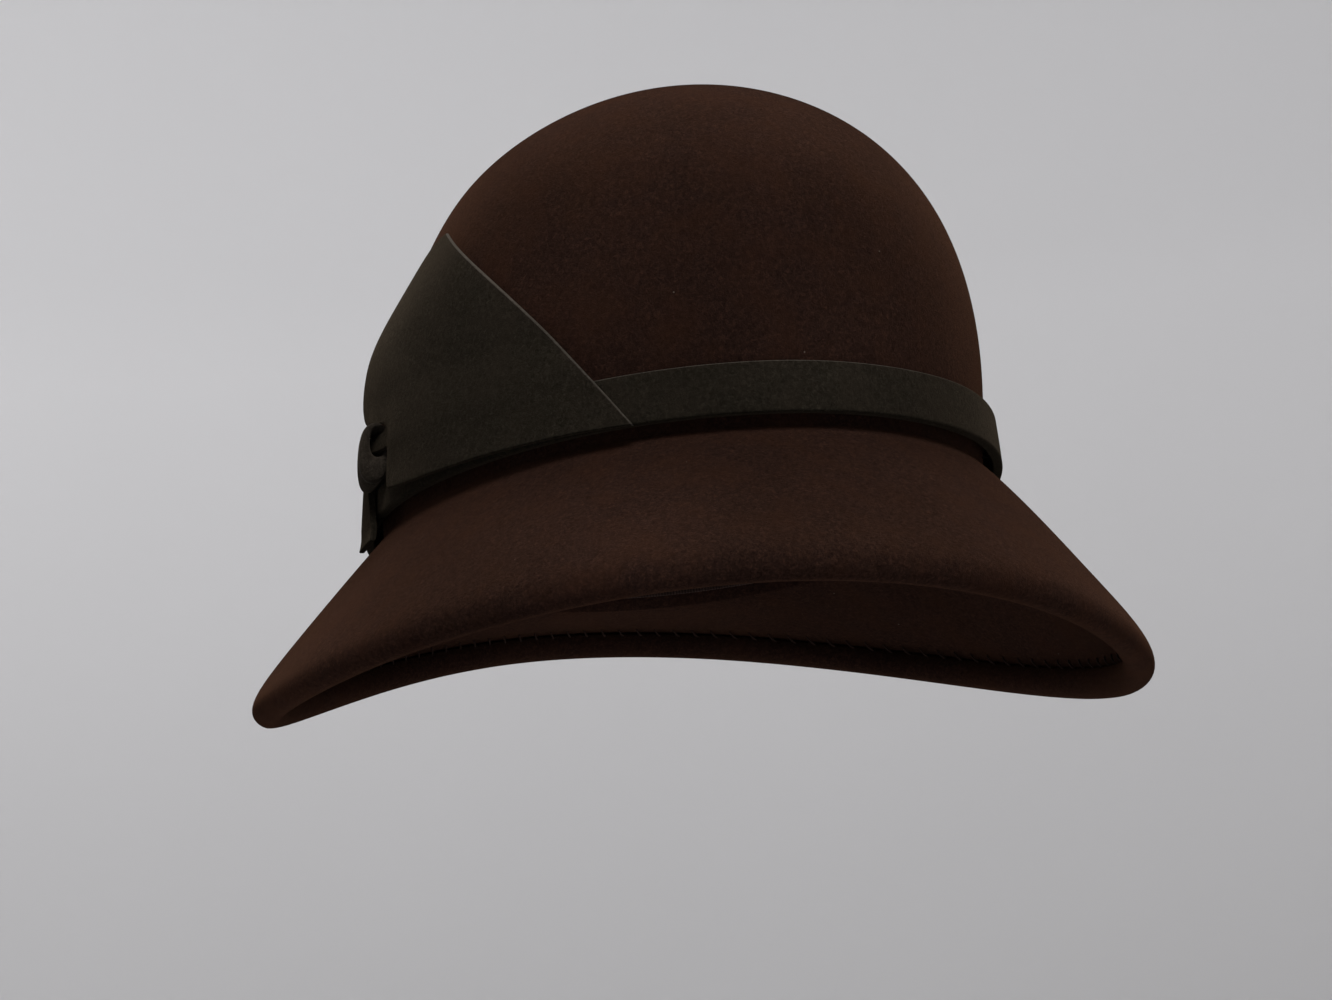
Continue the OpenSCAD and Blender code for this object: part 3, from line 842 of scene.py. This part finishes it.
def sew_edge():
    """Whip stitches from the turned edge to the underside of the brim."""
    a = np.radians(np.arange(EDGE_STITCHES) * 360 / EDGE_STITCHES)
    half = math.radians(0.45)
    turn, clear = math.radians(279), ROLL_R + 0.05
    make_stitches(
        "edge_thread", "edge_stitches",
        brim_place(a - half, clear * math.cos(turn), clear * math.sin(turn)),
        brim_place(a + half, 2.2, -7.6),
        brim_place(a, -1, 0) - brim_place(a, 0, 0), 0.3, 0.35, materials["thread"],
    )


def sew_ribbon():
    """Running stitches along the ribbon's lower edge, with none in its lap."""
    lap = 7.5
    a = np.radians(182 + lap + (358 - 2 * lap) * np.arange(RIBBON_STITCHES) / RIBBON_STITCHES)
    z, face, half = RIBBON_LOW + 1.5, RIBBON_OUT - RIBBON_T, math.radians(0.9)
    make_stitches(
        "ribbon_thread", "sweatband_stitches",
        crown_point(a - half, z, face), crown_point(a + half, z, face),
        crown_point(a, z, -1.0) - crown_point(a, z, 0.0), 0.28, 0.3, materials["thread"],
    )


def sew_label():
    """A short upright row at each end of the label."""
    a = np.radians(LABEL_ANGLE + np.repeat([-7.2, 7.2], LABEL_STITCHES))
    low = np.tile(9.0 + 2.9 * np.arange(LABEL_STITCHES), 2)
    face = LABEL_OFF - LABEL_T - 0.02
    make_stitches(
        "label_thread", "label_stitches",
        crown_point(a, low, face), crown_point(a, low + 2.0, face),
        crown_point(a, low, -1.0) - crown_point(a, low, 0.0), 0.22, 0.22, materials["thread"],
    )


def sew_band():
    """Tacks between the crown and the band's lower half, hidden behind it."""
    a = np.radians(360 * (np.arange(BAND_TACKS) + 0.5) / BAND_TACKS)
    z = BAND_LOW + 1.4
    make_stitches(
        "band_thread", "band_tacks", crown_point(a, z, 0.15), trim_point(a, z, 0.0),
        crown_point(a, z + 1, 0.0) - crown_point(a, z, 0.0), 0.24, 0.05, materials["thread_taupe"],
    )


def sew_knot():
    """Tacks above and below, between the loop and the band."""
    back, side = np.meshgrid((0.45, 0.65, 0.85), (-1, 1), indexing="ij")
    a = -np.radians(LOOP_ANGLE + LOOP_SPAN * back.ravel())
    z = LOOP_Z + side.ravel() * (LOOP_HALF - 1.5)
    half, off = math.radians(0.6), OVER_BAND + 0.4
    make_stitches(
        "knot_thread", "knot_tacks", trim_point(a - half, z, off), trim_point(a + half, z, off),
        trim_point(a, z, OVER_BAND + 1) - trim_point(a, z, OVER_BAND), 0.22, 0.04,
        materials["thread_taupe"],
    )


def finish_cad_metal():
    """The wire and its sleeve keep their CAD shapes and take worn metal."""
    for node, material in (("brim_wire", "wire"), ("wire_joiner", "sleeve")):
        for slot in bpy.data.objects[node].material_slots:
            slot.material = materials[material]


# ---- camera, light and studio ---------------------------------------------

CAMERA_AZIMUTH, CAMERA_ELEVATION, CAMERA_ROLL = -19.13, -14.49, -5.4     # degrees
CAMERA_DISTANCE = 0.9591
CAMERA_ASIDE = (0.00515, -0.00677)      # how far right of and above the view's middle the hat is
CAMERA_LENS, CAMERA_SENSOR = 88.54054054, 36


def camera_axes():
    """The camera's directions right, up and back towards itself."""
    a, e = math.radians(CAMERA_AZIMUTH), math.radians(CAMERA_ELEVATION)
    back = Vector((math.sin(a) * math.cos(e), -math.cos(a) * math.cos(e), math.sin(e)))
    right = Vector((math.cos(a), math.sin(a), 0))
    up = back.cross(right)
    r = math.radians(CAMERA_ROLL)
    return right * math.cos(r) + up * math.sin(r), up * math.cos(r) - right * math.sin(r), back


def make_camera():
    right, up, back = camera_axes()
    data = bpy.data.cameras.new("camera")
    data.lens = CAMERA_LENS
    data.sensor_width = CAMERA_SENSOR
    camera = bpy.data.objects.new("camera", data)
    bpy.context.collection.objects.link(camera)
    place = back * CAMERA_DISTANCE - right * CAMERA_ASIDE[0] - up * CAMERA_ASIDE[1]
    turn = Matrix((right, up, back)).transposed()
    camera.matrix_world = Matrix.Translation(place) @ turn.to_4x4()
    bpy.context.scene.camera = camera


FLOOR_Z = -0.42
STUDIO_R, STUDIO_HIGH, COVE_R = 3.4, 3.2, 0.9
STUDIO_SIDES = 96
STUDIO_COLOUR = (0.80, 0.80, 0.82)


def studio_with_painted_shade():
    """Pale paint, darker towards the floor: painted shade, as if less light reached low down."""
    n = Nodes("studio_with_painted_shade")
    split = n.add("ShaderNodeSeparateXYZ")
    n.link(n.place, split.inputs[0])
    # Painted shade: the colour darkens with falling height.
    high = n.math("ADD", n.math("MULTIPLY", split.outputs["Z"], 0.5), 0.25)
    shade = n.ramp(high, (0.12, scaled(STUDIO_COLOUR, 0.55)), (0.8, STUDIO_COLOUR))
    cloudy = n.ramp(n.noise(900, detail=2), (0.3, grey(0.98)), (0.7, grey(1.0)))
    return n.finish(n.mix(1.0, shade, cloudy, "MULTIPLY"), None, 0.9, gloss=0.1)


def make_studio():
    """Round studio: a pale floor that turns up into a pale wall."""
    flat_r = STUDIO_R - COVE_R
    profile = [(r, 0.0) for r in np.linspace(0.05, flat_r, 8)]
    profile += [
        (flat_r + COVE_R * math.sin(q), COVE_R - COVE_R * math.cos(q))
        for q in np.linspace(0, math.pi / 2, 14)[1:]
    ]
    profile += [(STUDIO_R, h) for h in np.linspace(COVE_R, STUDIO_HIGH, 6)[1:]]
    a = np.arange(STUDIO_SIDES) * TAU / STUDIO_SIDES
    rows = [
        np.stack([r * np.cos(a), r * np.sin(a), 0 * a + FLOOR_Z + h], -1) / MM for r, h in profile
    ]
    points = np.concatenate(rows + [np.array([[0, 0, FLOOR_Z / MM]])])
    faces = ring_faces(len(rows), STUDIO_SIDES)
    faces += [[len(points) - 1, (j + 1) % STUDIO_SIDES, j] for j in range(STUDIO_SIDES)]
    studio = add_mesh("studio", points, faces, [studio_with_painted_shade()])


def add_light(name, place, size, power, colour=(1, 1, 1), aim=(0, 0, 0)):
    """Disk light; place and aim are metres right of, above and before the hat."""
    axes = camera_axes()
    spot = sum((axis * d for axis, d in zip(axes, place)), Vector())
    target = sum((axis * d for axis, d in zip(axes, aim)), Vector())
    data = bpy.data.lights.new(name, "AREA")
    data.shape = "DISK"
    data.size = size
    data.energy = power
    data.color = colour
    lamp = bpy.data.objects.new(name, data)
    bpy.context.collection.objects.link(lamp)
    lamp.location = spot
    lamp.rotation_mode = "QUATERNION"
    lamp.rotation_quaternion = (target - spot).to_track_quat("-Z", "Y")


WARM_WHITE, SOFT_WHITE = (1.0, 0.98, 0.95), (1.0, 0.98, 0.96)
AIR_COLOUR, AIR_STRENGTH = (0.95, 0.96, 1.0, 1), 0.06


def make_lights():
    """A high light at the back, a larger one high in front, one on the backdrop."""
    add_light("overhead", (-0.1, 1.75, -0.95), 0.8, 45, SOFT_WHITE)
    add_light("front", (0.1, 2.1, 1.45), 1.2, 63, WARM_WHITE)
    add_light("backdrop", (-1.1, 1.6, -0.8), 1.0, 26, aim=(-1.4, 1.1, -3.2))
    world = bpy.data.worlds.new("studio_air")
    world.use_nodes = True
    air = world.node_tree.nodes["Background"]
    air.inputs["Color"].default_value = AIR_COLOUR
    air.inputs["Strength"].default_value = AIR_STRENGTH
    bpy.context.scene.world = world


make_camera()
make_studio()
make_lights()
make_hood()
band = make_band()
flap = make_flap()
make_loop()
tail = make_tail()
ribbon = make_ribbon()
label = make_label()
sew_edge()
sew_ribbon()
sew_label()
sew_band()
sew_knot()
finish_cad_metal()

scene = bpy.context.scene
scene.view_settings.view_transform = "Standard"
scene.view_settings.look = "None"
